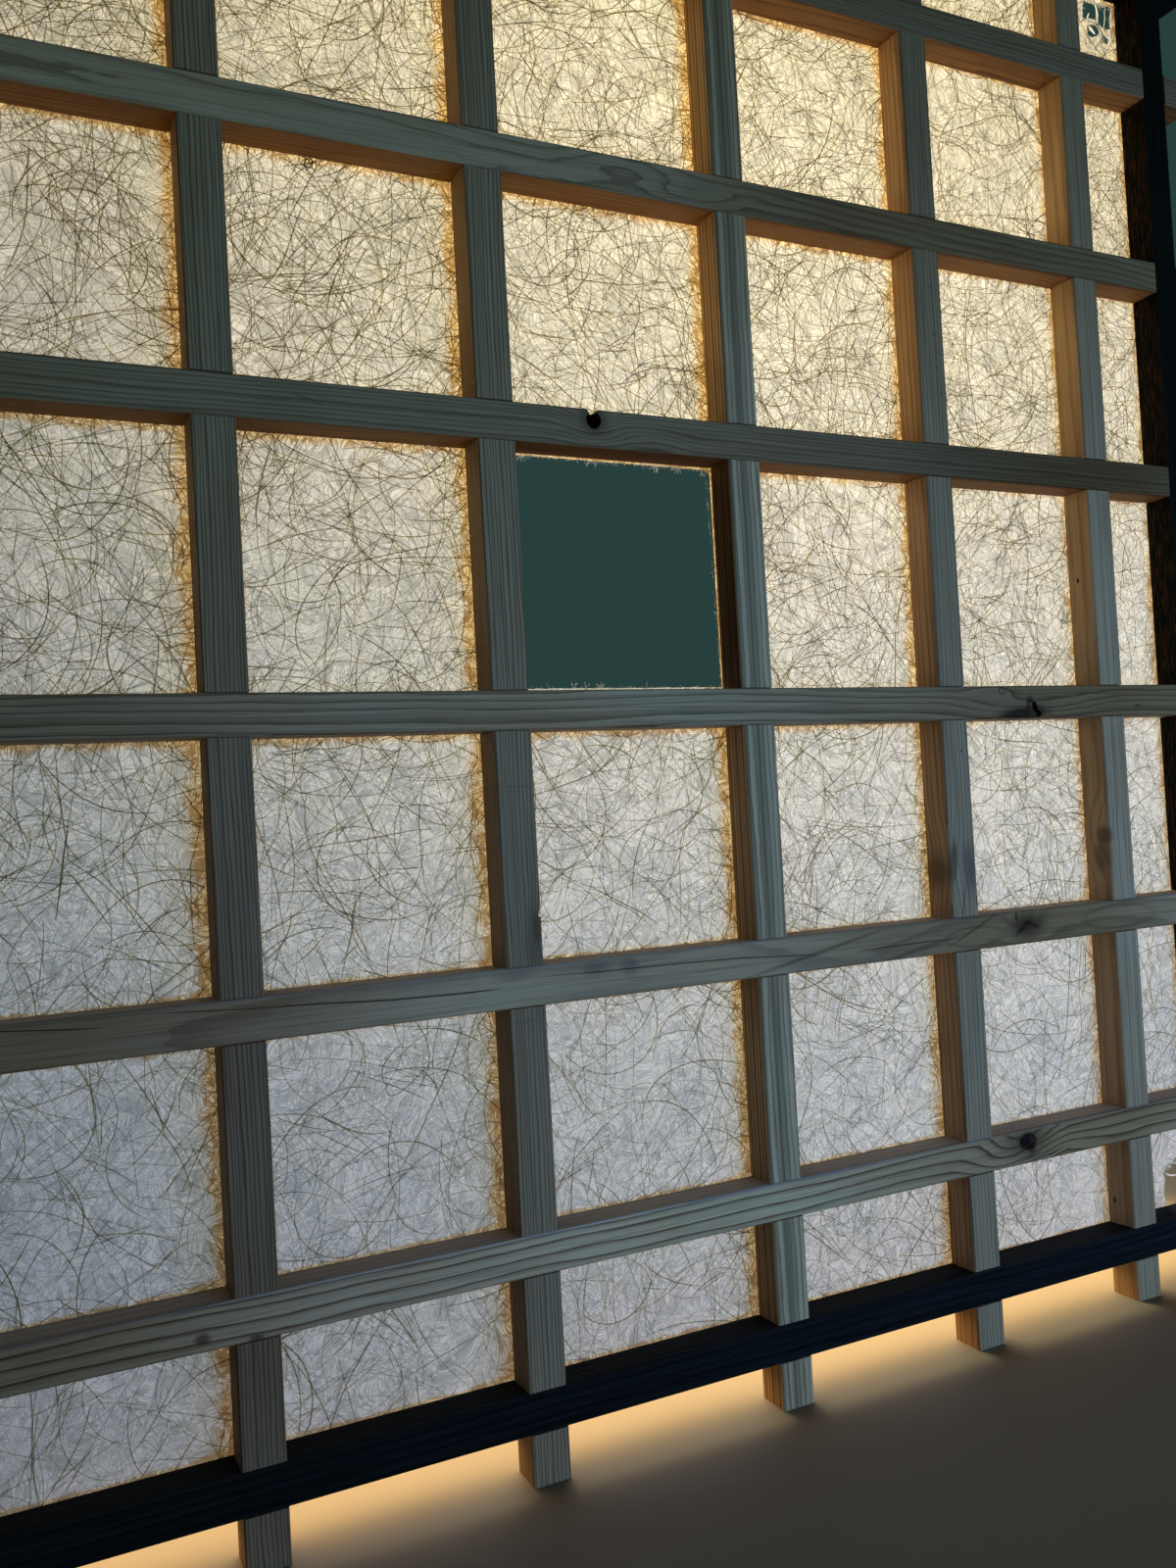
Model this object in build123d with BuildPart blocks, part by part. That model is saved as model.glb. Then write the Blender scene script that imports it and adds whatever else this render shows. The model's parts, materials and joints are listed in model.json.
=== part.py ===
from build123d import *
import os

# A shoji lattice screen: square strips half-lapped into a grid, pale softwood inside and a dark-stained
# strip along each side, and one sheet of paper glued behind, with a window cut in its middle cell.
# Every strip has the same section and runs past the dark frame by the same length, so the screen
# stands on its strip ends. Millimetres, +Z up, front of the screen towards -Y. The origin is under
# the middle of the panel, on the surface that it stands on.

os.makedirs("parts", exist_ok=True)

# Strips
strip_width = 19.0  # across the face that is seen from the front
strip_depth = 19.0  # front to back
eased_edge = 0.7  # small flat along every long edge
end_overrun = 24.0  # strip ends standing past the dark frame

# Clear openings between strips, from the middle of the panel outwards, the same both ways
window_opening = 119.0
second_opening = 111.0
third_opening = 105.5
edge_opening = 53.0

# Laps
lap_play = 0.5  # a notch is this much wider than the strip that lies in it

# Paper
paper_thickness = 0.3
paper_inset = 3.0  # paper edge to the outer edge of the dark frame
cut_margin_left = 1.0  # paper left standing inside the window opening
cut_margin_right = 0.4
cut_margin_top = 0.8
cut_margin_bottom = 2.6
cut_corner = 2.0  # the window's upper right corner is cut across

# Knots, splits, chips and rubbed edges in the strips
knot_hole_x = -17.4  # from the middle of the panel
knot_hole_drop = 5.5  # below the strip's upper edge
knot_hole_radius = 4.1
knot_hole_depth = 8.0
knot_hole_taper = 8.0  # degrees
knot_lip_width = 6.0  # where that hole breaks out through the upper edge
knot_lip_height = 1.9
split_knot_x = 258.5
split_knot_depth = 3.0
sunk_knot_x = 234.6
sunk_knot_drop = 6.8
sunk_knot_half_width = 6.8
sunk_knot_half_height = 4.6
sunk_knot_depth = 1.6
sunk_knot_floor = 0.75  # its floor against its mouth
crack_depth = 3.0
wide_crack = 0.9
fine_crack = 0.5
chip_drop = 83.0  # below the strip that crosses above it
chip_height = 6.0
chip_bite = 1.5
chip_depth = 5.0
rubbed_length = 48.0
rubbed_width = 1.8
rubbed_depth = 1.2

# Places that follow from those sizes
inner_offset = (window_opening + strip_width) / 2
middle_offset = inner_offset + second_opening + strip_width
outer_offset = middle_offset + third_opening + strip_width
frame_offset = outer_offset + edge_opening + strip_width
frame_inside = frame_offset - strip_width / 2
frame_outside = frame_offset + strip_width / 2
half_length = frame_outside + end_overrun
panel_depth = strip_depth + paper_thickness
strip_y = -paper_thickness / 2
lap_depth = strip_depth / 2
notch = strip_width + lap_play
across = 2 * strip_width  # notch cutters reach past both sides of the strip

strip_offsets = [-outer_offset, -middle_offset, -inner_offset, inner_offset, middle_offset, outer_offset]
upright_x = strip_offsets
crosswise_z = [half_length - offset for offset in strip_offsets]
stile_x = [-frame_offset, frame_offset]
rail_z = [half_length + frame_offset, half_length - frame_offset]

# Both planes have X to the right and Z up, so their sketches read as the screen does from the front
front = Plane.XZ.offset(panel_depth / 2)
glue_face = Plane.XZ.offset(panel_depth / 2 - strip_depth)


def foot_plane(x):
    """Section plane at the lower end of an upright strip."""
    return Plane(origin=(x, strip_y, 0), x_dir=(1, 0, 0), z_dir=(0, 0, 1))


def end_plane(z):
    """Section plane at the left end of a strip that runs across."""
    return Plane(origin=(-half_length, strip_y, z), x_dir=(0, 0, 1), z_dir=(1, 0, 0))


def crack_outline(path, gape):
    """A split along path, closed at both ends and gape wide between them."""
    upper = [(x, z + gape / 2) for x, z in path[1:-1]]
    lower = [(x, z - gape / 2) for x, z in reversed(path[1:-1])]
    return [path[0], *upper, path[-1], *lower]


def finish(piece, name):
    """Names a finished piece and writes it."""
    piece.part.label = name
    export_step(piece.part, f"parts/{name}.step")


# Softwood uprights. All that crosses them runs in front, so their notches are in the front face.
for number, x in enumerate(upright_x, start=1):
    with BuildPart() as upright:
        with BuildSketch(foot_plane(x)) as section:
            Rectangle(strip_width, strip_depth)
            chamfer(section.vertices(), length=eased_edge)
        extrude(amount=2 * half_length)
        with BuildSketch(front):
            with Locations(*[(x, z) for z in crosswise_z + rail_z]):
                Rectangle(across, notch)
        extrude(amount=-lap_depth, mode=Mode.SUBTRACT)

        if number == 3:
            right = x + strip_width / 2
            front_y = -panel_depth / 2
            # a chip out of the right edge, below the window
            chip_z = crosswise_z[3] - strip_width / 2 - chip_drop
            with BuildSketch(front):
                Polygon(
                    (right + chip_bite, chip_z),
                    (right + chip_bite, chip_z - chip_height),
                    (right, chip_z - chip_height),
                    (right - chip_bite, chip_z - 0.8 * chip_height),
                    (right, chip_z),
                    align=None,
                )
            extrude(amount=-chip_depth, mode=Mode.SUBTRACT)
            # a long flat worn on the right edge beside the window, which runs out upwards
            rubbed_foot = crosswise_z[3]
            with BuildSketch(Plane.XY.offset(rubbed_foot)):
                Polygon(
                    (right - rubbed_width, front_y),
                    (right, front_y + rubbed_depth),
                    (right + rubbed_width, front_y - rubbed_depth),
                    align=None,
                )
            with BuildSketch(Plane.XY.offset(rubbed_foot + strip_width / 2 + rubbed_length)):
                Polygon(
                    (right - eased_edge, front_y),
                    (right, front_y + eased_edge),
                    (right + rubbed_width, front_y - rubbed_depth),
                    align=None,
                )
            loft(mode=Mode.SUBTRACT)
    finish(upright, f"vertical_strip_{number}")

# Softwood strips that run across. They lie in front of the uprights and behind the dark stiles.
for number, z in enumerate(crosswise_z, start=1):
    upper_edge = z + strip_width / 2
    lower_edge = z - strip_width / 2
    with BuildPart() as crosswise:
        with BuildSketch(end_plane(z)) as section:
            Rectangle(strip_width, strip_depth)
            chamfer(section.vertices(), length=eased_edge)
        extrude(amount=2 * half_length)
        with BuildSketch(glue_face):
            with Locations(*[(x, z) for x in upright_x]):
                Rectangle(notch, across)
        extrude(amount=lap_depth, mode=Mode.SUBTRACT)
        with BuildSketch(front):
            with Locations(*[(x, z) for x in stile_x]):
                Rectangle(notch, across)
        extrude(amount=-lap_depth, mode=Mode.SUBTRACT)

        if number == 3:
            # a knot has fallen out above the window and taken a bit of the edge with it
            with BuildSketch(front):
                with Locations((knot_hole_x, upper_edge - knot_hole_drop)):
                    Circle(knot_hole_radius)
            extrude(amount=-knot_hole_depth, taper=knot_hole_taper, mode=Mode.SUBTRACT)
            with BuildSketch(front):
                with Locations((knot_hole_x, upper_edge)):
                    Rectangle(knot_lip_width, 2 * knot_lip_height)
            extrude(amount=-knot_hole_depth, mode=Mode.SUBTRACT)
        if number == 4:
            # a black knot split open along the lower edge
            split = [(-29, 0.9), (-23, 2.2), (-8, 4.0), (-4, 5.3), (-1.5, 9.8), (3, 9.5), (4, 5.2), (7.5, 2.3), (5, 0.8)]
            with BuildSketch(front):
                Polygon(*[(split_knot_x + dx, lower_edge + dz) for dx, dz in split], align=None)
            extrude(amount=-split_knot_depth, mode=Mode.SUBTRACT)
        if number == 5:
            # one long drying crack, in four stretches
            first = [(-330, 9.0), (-293, 7.4), (-267, 5.0), (-250, 3.6)]
            second = [(-239, 7.6), (-203, 5.5), (-168, 3.7), (-134, 1.5), (-100, 0.7), (-80, 0.4)]
            third = [(-67, 4.1), (-32, 3.2), (8, 2.7), (47, 1.7), (76, -0.1), (105, -1.9)]
            fourth = [(121, -2.3), (137, -1.8), (169, -1.6), (201, -1.9)]
            cracks = [(first, fine_crack), (second, wide_crack), (third, fine_crack), (fourth, fine_crack)]
            with BuildSketch(front):
                for path, gape in cracks:
                    Polygon(*crack_outline([(x, z + dz) for x, dz in path], gape), align=None)
            extrude(amount=-crack_depth, mode=Mode.SUBTRACT)
        if number == 6:
            # a dark knot sunk below the face, with the grain open beneath it
            for depth, share in ((0, 1.0), (sunk_knot_depth, sunk_knot_floor)):
                with BuildSketch(front.offset(-depth)):
                    with Locations((sunk_knot_x, upper_edge - sunk_knot_drop)):
                        Ellipse(share * sunk_knot_half_width, share * sunk_knot_half_height)
            loft(mode=Mode.SUBTRACT)
            checks = [[(-7.5, 1.5), (1.7, 3.4), (11, 4.8)], [(8, 1.5), (17, 2.6), (29, 5.2)]]
            with BuildSketch(front):
                for path in checks:
                    placed = [(sunk_knot_x + dx, lower_edge + dz) for dx, dz in path]
                    Polygon(*crack_outline(placed, wide_crack), align=None)
            extrude(amount=-crack_depth, mode=Mode.SUBTRACT)
    finish(crosswise, f"horizontal_strip_{number}")

# Dark stiles, in front of the softwood strips and behind the dark rails
for name, x in zip(["left_stile", "right_stile"], stile_x):
    with BuildPart() as stile:
        with BuildSketch(foot_plane(x)) as section:
            Rectangle(strip_width, strip_depth)
            chamfer(section.vertices(), length=eased_edge)
        extrude(amount=2 * half_length)
        with BuildSketch(front):
            with Locations(*[(x, z) for z in rail_z]):
                Rectangle(across, notch)
        extrude(amount=-lap_depth, mode=Mode.SUBTRACT)
        with BuildSketch(glue_face):
            with Locations(*[(x, z) for z in crosswise_z]):
                Rectangle(across, notch)
        extrude(amount=lap_depth, mode=Mode.SUBTRACT)
    finish(stile, name)

# Dark rails, in front of every upright
for name, z in zip(["top_rail", "bottom_rail"], rail_z):
    with BuildPart() as rail:
        with BuildSketch(end_plane(z)) as section:
            Rectangle(strip_width, strip_depth)
            chamfer(section.vertices(), length=eased_edge)
        extrude(amount=2 * half_length)
        with BuildSketch(glue_face):
            with Locations(*[(x, z) for x in upright_x + stile_x]):
                Rectangle(notch, across)
        extrude(amount=lap_depth, mode=Mode.SUBTRACT)
    finish(rail, name)

# Paper. The window is cut a little inside its opening, and both right-hand corner cells are torn.
window_left = -window_opening / 2 + cut_margin_left
window_right = window_opening / 2 - cut_margin_right
window_top = half_length + window_opening / 2 - cut_margin_top
window_bottom = half_length - window_opening / 2 + cut_margin_bottom
window = [
    (window_left, window_bottom),
    (window_left, window_top),
    (window_right - cut_corner, window_top),
    (window_right, window_top - cut_corner),
    (window_right, window_bottom),
]
# each tear by its distance in from the right stile and from the rail above or below it
upper_tears = [
    [(23.5, 1.0), (18.0, 0.6), (16.2, 4.0), (17.0, 9.0), (21.0, 10.2), (24.0, 6.0)],
    [(12.0, 4.0), (5.5, 2.6), (2.2, 5.0), (1.6, 11.0), (3.0, 16.0), (8.0, 17.5), (10.0, 10.0)],
    [(23.0, 18.0), (17.5, 17.2), (13.4, 20.5), (14.0, 24.6), (18.5, 25.6), (22.0, 22.5)],
    [(11.0, 25.8), (8.6, 26.0), (8.8, 28.6), (10.6, 28.2)],
]
lower_tear = [(22, -2), (23, 8), (21.5, 16), (22.5, 20), (17, 25), (10, 27.5), (4, 24), (2.5, 12), (3.5, -2)]
with BuildPart() as paper:
    with BuildSketch(glue_face):
        with Locations((0, half_length)):
            Rectangle(2 * (frame_outside - paper_inset), 2 * (frame_outside - paper_inset))
        Polygon(*window, align=None, mode=Mode.SUBTRACT)
        for tear in upper_tears:
            placed = [(frame_inside - dx, half_length + frame_inside - dz) for dx, dz in tear]
            Polygon(*placed, align=None, mode=Mode.SUBTRACT)
        placed = [(frame_inside - dx, half_length - frame_inside + dz) for dx, dz in lower_tear]
        Polygon(*placed, align=None, mode=Mode.SUBTRACT)
    extrude(amount=-paper_thickness)
finish(paper, "paper_sheet")
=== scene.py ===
import json
from math import cos, dist, pi, radians, sin

import bpy
import numpy as np
from mathutils import Matrix, Vector

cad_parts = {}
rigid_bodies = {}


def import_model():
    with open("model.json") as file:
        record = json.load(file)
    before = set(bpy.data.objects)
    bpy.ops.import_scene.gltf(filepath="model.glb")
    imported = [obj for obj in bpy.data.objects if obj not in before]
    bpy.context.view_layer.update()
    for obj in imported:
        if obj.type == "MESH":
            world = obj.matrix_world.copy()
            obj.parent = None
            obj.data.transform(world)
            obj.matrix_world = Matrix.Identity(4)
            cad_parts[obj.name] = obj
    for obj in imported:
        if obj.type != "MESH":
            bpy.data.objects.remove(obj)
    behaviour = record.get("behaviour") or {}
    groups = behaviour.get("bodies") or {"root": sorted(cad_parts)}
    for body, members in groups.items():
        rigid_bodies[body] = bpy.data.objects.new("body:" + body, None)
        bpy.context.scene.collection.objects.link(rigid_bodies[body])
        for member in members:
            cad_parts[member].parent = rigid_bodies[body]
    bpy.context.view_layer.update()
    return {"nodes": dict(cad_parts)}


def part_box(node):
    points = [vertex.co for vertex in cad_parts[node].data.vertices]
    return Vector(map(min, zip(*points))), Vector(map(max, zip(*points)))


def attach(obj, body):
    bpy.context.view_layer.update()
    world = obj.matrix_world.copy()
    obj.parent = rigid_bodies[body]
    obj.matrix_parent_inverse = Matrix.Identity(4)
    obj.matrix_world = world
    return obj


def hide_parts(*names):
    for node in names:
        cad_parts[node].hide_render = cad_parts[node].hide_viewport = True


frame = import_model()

bl_info = {
    "name": "Shoji lattice screen",
    "version": (1, 0, 0),
    "blender": (4, 5, 0),
    "location": "View3D > Sidebar > Shoji",
    "description": "Dresses a shoji lattice screen: grained softwood strips, a dark frame and fibrous paper",
    "category": "Object",
}

# Places on the panel, in metres, read from the solids where they can be
mm = 0.001
HAIRLINE = 1e-6  # too small a distance to matter
UPRIGHTS = [f"vertical_strip_{order}" for order in range(1, 7)]
CROSSWISE = [f"horizontal_strip_{order}" for order in range(1, 7)]
STILES = ["left_stile", "right_stile"]
RAILS = ["top_rail", "bottom_rail"]


def middle(node):
    """The middle of a solid's box."""
    low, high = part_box(node)
    return (low + high) / 2


paper_low, paper_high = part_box("paper_sheet")
paper_depth = (paper_low.y + paper_high.y) / 2
upright_lines = [middle(node).x for node in UPRIGHTS + STILES]
crosswise_lines = [middle(node).z for node in CROSSWISE + RAILS]
half_strip = 9.5 * mm
panel_middle = (paper_low.z + paper_high.z) / 2
stile_inside = upright_lines[-1] - half_strip
rail_above = crosswise_lines[-2] - half_strip
rail_below = crosswise_lines[-1] + half_strip

# The window as the solids have it, and the tears a little wider, with room for the strands that cross them.
# A tear's places are millimetres from the inner corner of the frame.
window_cut = [
    (x * mm, panel_middle + z * mm)
    for x, z in ((-58.5, -56.9), (-58.5, 58.7), (57.1, 58.7), (59.1, 56.7), (59.1, -56.9))
]
upper_tears = [
    [
        (27, 3.7), (17.7, 3.5), (8.4, 3.6), (3.3, 1.8), (2, 7.4), (4.1, 12.4), (3.5, 16.6), (9.8, 19),
        (12.3, 16.9), (14.4, 16.1), (16.9, 13.7), (22.2, 13.9), (27.6, 15.8), (27.5, 9),
    ],
    [
        (23.9, 18.6), (18.5, 17.3), (14.9, 18.8), (13.9, 22.5), (16.9, 24.5), (20.6, 26.3), (24, 25.1),
        (24.9, 22.4),
    ],
    [(10.3, 20.8), (5.3, 23.9), (7, 27.5), (10.5, 27.3), (12, 24.1)],
]
lower_tear = [(22, -2), (23, 8), (21.5, 16), (22.5, 20), (17, 25), (10, 27.5), (4, 24), (2.5, 12), (3.5, -2)]
tears = [[(stile_inside - x * mm, rail_above - z * mm) for x, z in tear] for tear in upper_tears]
tears.append([(stile_inside - x * mm, rail_below + z * mm) for x, z in lower_tear])
openings = [window_cut] + tears
OPENING_REACH = 0.14  # no opening is wider or higher than this


def edges(outline):
    """The two ends of each edge of a closed outline."""
    return zip(outline, outline[1:] + outline[:1])


def inside(outline, x, z):
    """Whether a point lies inside a closed outline."""
    within = False
    for (x1, z1), (x2, z2) in edges(outline):
        if (z1 > z) != (z2 > z) and x < x1 + (z - z1) * (x2 - x1) / (z2 - z1):
            within = not within
    return within


def on_paper(x, z):
    """Whether a point of the panel has paper behind it."""
    if not (paper_low.x < x < paper_high.x and paper_low.z < z < paper_high.z):
        return False
    for outline in openings:
        first_x, first_z = outline[0]
        near = abs(x - first_x) < OPENING_REACH and abs(z - first_z) < OPENING_REACH
        if near and inside(outline, x, z):
            return False
    return True


def from_strips(x, z):
    """How far points of the panel are from the nearest strip's edge, 0 on a strip."""
    gap_x = np.min([np.abs(x - line) for line in upright_lines], axis=0) - half_strip
    gap_z = np.min([np.abs(z - line) for line in crosswise_lines], axis=0) - half_strip
    return np.clip(np.minimum(gap_x, gap_z), 0, None)


def from_paste_and_glow(x, z):
    """How far points are from the amber band beside the strips, which is soaked-in paste and painted warm glow
    together. The band reaches furthest to the left of a strip and least above one, so distances on the other
    sides count for more."""
    rightwards, below, above = 1.7, 1.7, 4
    gaps = []
    for line in upright_lines:
        gaps.append(np.where(x < line, line - x - half_strip, (x - line - half_strip) * rightwards))
    for line in crosswise_lines:
        gaps.append(np.where(z < line, (line - z - half_strip) * below, (z - line - half_strip) * above))
    return np.clip(np.min(gaps, axis=0), 0, None)


def cockle(x, z, height):
    """How far the paper swells towards the front between the strips that it is glued to."""
    full_swell, wave_sum = 26 * mm, 2.7  # how far in the swell is full, and the height of the waves together
    share = np.clip(from_strips(x, z) / full_swell, 0, 1)
    share = share * share * (3 - 2 * share)
    swell = np.sin(61 * x + 1.3 + 9 * z) + np.sin(47 * z - 14 * x + 0.4) + 0.7 * np.sin(103 * x + 88 * z)
    return height * share * swell / wave_sum


# Modelling helpers


def deselect():
    """Nothing stays selected or in edit mode."""
    if bpy.context.object is not None and bpy.context.object.mode != "OBJECT":
        bpy.ops.object.mode_set(mode="OBJECT")
    bpy.ops.object.select_all(action="DESELECT")


def pick(thing):
    """Selects one object alone, and makes it the active one."""
    deselect()
    thing.select_set(True)
    bpy.context.view_layer.objects.active = thing


def settle(thing):
    """Leaves an object at the origin, with its place in its mesh."""
    pick(thing)
    bpy.ops.object.transform_apply(location=True, rotation=True, scale=True)


def as_mesh(curve):
    """The mesh that a curve object becomes."""
    pick(curve)
    bpy.ops.object.convert(target="MESH")
    return bpy.context.object


def edit_faces(selection, step=None):
    """Takes a step in edit mode on the active mesh, with all, none or what was left of it selected."""
    bpy.ops.object.mode_set(mode="EDIT")
    if selection:
        bpy.ops.mesh.select_all(action=selection)
    if step:
        step()
    bpy.ops.object.mode_set(mode="OBJECT")


def vertex_places(mesh):
    """The vertices of a mesh as rows of x, y, z."""
    places = np.empty(len(mesh.vertices) * 3)
    mesh.vertices.foreach_get("co", places)
    return places.reshape(-1, 3)


def move_vertices(mesh, places):
    """Puts the vertices of a mesh where the rows say."""
    mesh.vertices.foreach_set("co", places.ravel())
    mesh.update()


def swell_with_paper(mesh, height):
    """Lets a mesh follow the cockles of the paper."""
    places = vertex_places(mesh)
    places[:, 1] -= cockle(places[:, 0], places[:, 2], height)
    move_vertices(mesh, places)


def drawn(name, fibres):
    """A curve object with a tapered spline for each fibre, which is a pair of its points and its width. It lies
    flat if the points have no third place."""
    curve = bpy.data.curves.new(name, "CURVE")
    sides = len(fibres[0][0][0])
    curve.dimensions = f"{sides}D"
    for points, width in fibres:
        spline = curve.splines.new("POLY")
        spline.points.add(len(points) - 1)
        places = np.zeros((len(points), 4))
        places[:, :sides] = points
        places[:, 3] = 1
        spline.points.foreach_set("co", places.ravel())
        taper = np.sqrt(np.sin(np.linspace(0.25, pi - 0.25, len(points))))
        spline.points.foreach_set("radius", width * taper)
    thing = bpy.data.objects.new(name, curve)
    bpy.context.scene.collection.objects.link(thing)
    return thing


def laid(name, fibres, profile, y, towards, dice=None):
    """Flat fibres lying along the paper at y, each at its own depth in it. The profile is the half section of
    one: its width, and the height of its ridge, which is 0 for a flat one and faces the front or the back."""
    wide, high = profile
    ridge = [(0, towards * high)] if high else []
    section = [(-wide / 2, 0), *ridge, (wide / 2, 0)]
    template = drawn(name + "_section", [(section, 1)])
    template.data.splines[0].points.foreach_set("radius", [1] * len(section))
    curve = drawn(name, fibres)
    curve.data.bevel_mode = "OBJECT"
    curve.data.bevel_object = template
    thing = as_mesh(curve)
    bpy.data.objects.remove(template)
    thing.rotation_euler = (pi / 2, 0, 0)
    thing.location.y = y
    settle(thing)
    places = vertex_places(thing.data)
    counts = [len(points) * len(section) for points, _ in fibres]
    if dice is not None and sum(counts) == len(places):
        places[:, 1] += towards * np.repeat(dice.uniform(0, 0.08 * mm, len(fibres)), counts)
        move_vertices(thing.data, places)
    normals = np.empty(len(thing.data.polygons) * 3)
    thing.data.polygons.foreach_get("normal", normals)
    if normals.reshape(-1, 3)[:, 1].mean() * -towards < 0:
        edit_faces("SELECT", bpy.ops.mesh.flip_normals)
    bpy.ops.object.shade_smooth()
    return thing


def threads(name, fibres, thickness):
    """Round fibres that may leave the paper, from points with x, y and z."""
    curve = drawn(name, fibres)
    curve.data.bevel_depth = thickness / 2
    curve.data.bevel_resolution = 1
    curve.data.use_fill_caps = True
    thing = as_mesh(curve)
    bpy.ops.object.shade_smooth()
    return thing


def curl(dice, start, heading, length, bend, drift, step, tightest):
    """Points of one fibre that bends as it goes, never tighter than a given curvature."""
    x, z = start
    points = [(x, z)]
    for _ in range(max(2, round(length / step))):
        bend = min(max(bend + dice.normal(0, drift), -tightest), tightest)
        heading += bend * step
        x += cos(heading) * step
        z += sin(heading) * step
        points.append((x, z))
    return points


def bowed(corners, count):
    """Points, in metres, of a smooth bow through three places given in millimetres."""
    (x1, z1), (x2, z2), (x3, z3) = [(x * mm, z * mm) for x, z in corners]
    points = []
    for step in range(count):
        t = step / (count - 1)
        before, over, after = (1 - t) * (1 - 2 * t), 4 * t * (1 - t), t * (2 * t - 1)
        points.append((before * x1 + over * x2 + after * x3, before * z1 + over * z2 + after * z3))
    return points


def trimmed(points):
    """The stretches of a fibre that lie on paper, cut off where the paper ends."""
    halvings = 8
    stretches = []
    here = []
    for first, second in zip(points, points[1:]):
        starts_on, ends_on = on_paper(*first), on_paper(*second)
        if starts_on:
            here.append(first)
        if starts_on != ends_on:
            near, far = (first, second) if starts_on else (second, first)
            for _ in range(halvings):
                half = ((near[0] + far[0]) / 2, (near[1] + far[1]) / 2)
                near, far = (half, far) if on_paper(*half) else (near, half)
            here.append(near)
            if starts_on:
                stretches.append(here)
                here = []
    if on_paper(*points[-1]):
        here.append(points[-1])
    stretches.append(here)
    return [stretch for stretch in stretches if len(stretch) > 2]


# Material helpers

# Scales that turn metres into millimetres, for a pattern all through a piece and for one flat on the panel
IN_MM = (1000, 1000, 1000)
FLAT_IN_MM = (1000, 0, 1000)


def opaque(colour):
    """A colour's socket as it is, or three channels with a fourth."""
    return colour if isinstance(colour, bpy.types.NodeSocket) else (*colour, 1)


class Recipe:
    """The nodes of one material or world, written from the first one to the output."""

    def __init__(self, name, kind="Material"):
        self.whole = (bpy.data.worlds if kind == "World" else bpy.data.materials).new(name)
        self.kind = kind
        self.whole.use_nodes = True
        self.tree = self.whole.node_tree
        self.tree.nodes.clear()

    def add(self, kind, inputs=None, **settings):
        """Adds a shader node. An input is another node's socket, a fixed value, or None to leave it as it is."""
        node = self.tree.nodes.new("ShaderNode" + kind)
        for key, value in settings.items():
            setattr(node, key, value)
        for key, value in (inputs or {}).items():
            if isinstance(value, bpy.types.NodeSocket):
                self.tree.links.new(value, node.inputs[key])
            elif value is not None:
                node.inputs[key].default_value = value
        return node

    def place(self):
        """Places on the piece, in metres."""
        return self.add("TexCoord").outputs["Object"]

    def math(self, operation, first, second=None, clamp=False):
        """One sum on numbers."""
        node = self.add("Math", {0: first, 1: second}, operation=operation, use_clamp=clamp)
        return node.outputs[0]

    def plus(self, first, second):
        return self.math("ADD", first, second)

    def minus(self, first, second, clamp=False):
        return self.math("SUBTRACT", first, second, clamp)

    def times(self, first, second, clamp=False):
        return self.math("MULTIPLY", first, second, clamp)

    def vector(self, operation, first, second=None):
        """One sum on vectors."""
        node = self.add("VectorMath", {0: first, 1: second}, operation=operation)
        return node.outputs["Value" if operation == "LENGTH" else "Vector"]

    def split(self, vector):
        """The x, y and z of a vector."""
        return self.add("SeparateXYZ", {0: vector}).outputs

    def joined(self, x, y, z):
        """A vector from its x, y and z."""
        return self.add("CombineXYZ", {0: x, 1: y, 2: z}).outputs[0]

    def span(self, value, low, high, new_low=0, new_high=1, smooth=True):
        """Carries a range of numbers over to another, held at its ends."""
        kind = "SMOOTHSTEP" if smooth else "LINEAR"
        inputs = {"Value": value, "From Min": low, "From Max": high, "To Min": new_low, "To Max": new_high}
        return self.add("MapRange", inputs, interpolation_type=kind).outputs[0]

    def mapped(self, vector, scale, location=(0, 0, 0), turn=(0, 0, 0)):
        """Stretches, turns and shifts a pattern's coordinates."""
        inputs = {"Vector": vector, "Scale": scale, "Location": location, "Rotation": turn}
        return self.add("Mapping", inputs).outputs[0]

    def noise(self, vector, scale=1, detail=2, roughness=0.5, distortion=0):
        """Cloudy noise from 0 to 1."""
        inputs = {"Vector": vector, "Scale": scale, "Detail": detail, "Roughness": roughness}
        return self.add("TexNoise", {**inputs, "Distortion": distortion}).outputs[0]

    def streaky(self, strip, across, along, location, detail, roughness=0.5):
        """Noise that is as fine across a strip and along it as the two scales say."""
        return self.noise(self.mapped(strip, (across, across, along), location), 1, detail, roughness)

    def blend(self, share, first, second, kind="MIX"):
        """Mixes two colours, each a socket or three channels."""
        inputs = {0: share, 6: opaque(first), 7: opaque(second)}
        return self.add("Mix", inputs, data_type="RGBA", blend_type=kind).outputs[2]

    def tinted(self, share, colour, tint):
        """Multiplies a colour by another."""
        return self.blend(share, colour, tint, "MULTIPLY")

    def steps(self, value, stops):
        """A soft ladder of levels along a number."""
        node = self.add("ValToRGB", {0: value})
        band = node.color_ramp
        while len(band.elements) < len(stops):
            band.elements.new(0.5)
        for element, (position, level) in zip(band.elements, stops):
            element.position = position
            element.color = (level, level, level, 1)
        return node.outputs[0]

    def spot(self, vector, middle, half, turn=0, soft=0.35):
        """1 inside an egg shape in the wood, fading to 0 at its rim."""
        inputs = {"Vector": vector, "Location": middle, "Rotation": (0, turn, 0), "Scale": half}
        near = self.add("Mapping", inputs, vector_type="TEXTURE").outputs[0]
        return self.span(self.vector("LENGTH", near), 1 + soft, 1 - soft)

    def bump(self, height, strength, distance):
        """A relief in the surface."""
        inputs = {"Height": height, "Strength": strength, "Distance": distance}
        return self.add("Bump", inputs).outputs[0]

    def surface(self, colour, roughness, gloss, normal=None):
        """A surface that sends light back."""
        inputs = {"Base Color": colour, "Roughness": roughness, "Specular IOR Level": gloss, "Normal": normal}
        return self.add("BsdfPrincipled", inputs).outputs[0]

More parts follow.
